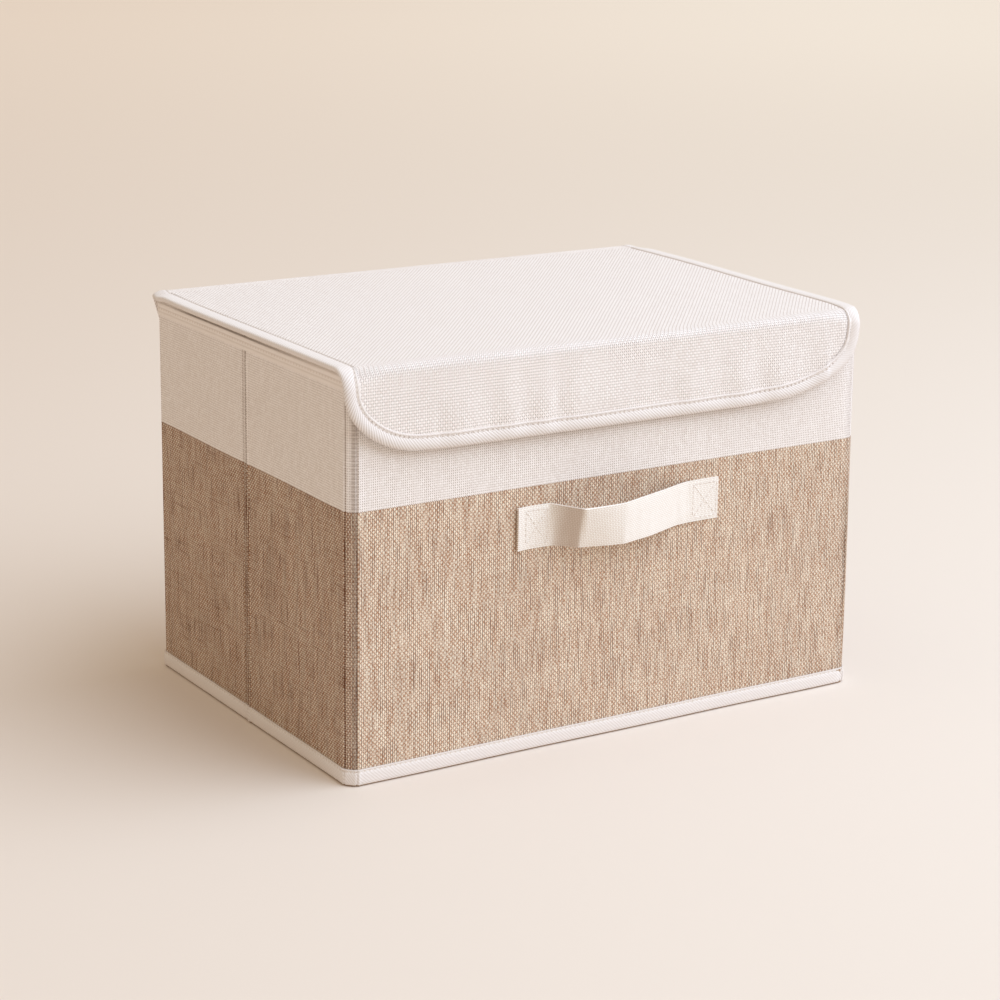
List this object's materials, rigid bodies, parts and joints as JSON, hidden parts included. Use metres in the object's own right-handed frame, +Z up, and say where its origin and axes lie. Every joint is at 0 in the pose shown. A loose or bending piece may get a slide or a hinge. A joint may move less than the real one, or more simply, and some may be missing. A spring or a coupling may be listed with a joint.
{
  "type": "fabric storage box with lid",
  "caption": "Rectangular cloth-covered storage box in two colours, with a stiff hinged lid, hanging front and back flaps, bound edges and a strap handle.",
  "frame": {"origin": "middle of the underside that the box stands on", "axes": "+X to the right along the front, +Y to the back where the lid is hinged, +Z up"},
  "size_m": [0.392, 0.2883, 0.2568],
  "materials": {
    "cream_cloth": "plain weave, cream",
    "linen_cloth": "slubbed linen weave, brown",
    "handle_cloth": "plain weave, cream",
    "lining": "non-woven, cream",
    "tape": "smooth binding tape, cream",
    "base_tape": "twill tape, off-white",
    "base_cloth": "non-woven, matt",
    "greyboard": "matt board"
  },
  "bodies": {
    "box": {"front_board": "greyboard", "back_board": "greyboard", "left_front_board": "greyboard", "left_rear_board": "greyboard", "right_front_board": "greyboard", "right_rear_board": "greyboard", "upper_cloth": "cream_cloth", "lower_cloth": "linen_cloth", "wall_lining": "lining", "base_lining": "lining", "rim_binding": "tape", "base_cloth": "base_cloth", "base_binding": "base_tape", "back_flap_cloth": "cream_cloth", "back_flap_lining": "lining", "back_flap_binding": "tape", "handle_left_end": "handle_cloth", "handle_right_end": "handle_cloth"},
    "lid": {"lid_board": "greyboard", "lid_cloth": "cream_cloth", "lid_lining": "lining", "lid_binding_left": "tape", "lid_binding_right": "tape"},
    "flap": {"front_flap_cloth": "cream_cloth", "front_flap_lining": "lining", "front_flap_binding": "tape"},
    "base_board": {"base_board_cover": "lining", "base_board_core": "greyboard"},
    "handle": {"handle_loop": "handle_cloth"}
  },
  "joints": [
    {"name": "lid_hinge", "type": "hinge", "parent": "box", "child": "lid", "pos_m": [0, 0.1333, 0.257], "axis": [-1, 0, 0], "range_deg": [0, 240]},
    {"name": "flap_hinge", "type": "hinge", "parent": "lid", "child": "flap", "pos_m": [0, -0.1372, 0.257], "axis": [-1, 0, 0], "range_deg": [0, 260]},
    {"name": "base_board_lift", "type": "slide", "parent": "box", "child": "base_board", "axis": [0, 0, 1], "range_m": [0, 0.245]},
    {"name": "handle_swing", "type": "hinge", "parent": "box", "child": "handle", "pos_m": [0, -0.1309, 0.1445], "axis": [1, 0, 0], "range_deg": [-25, 25], "stiffness_Nm_per_rad": 0.05}
  ]
}
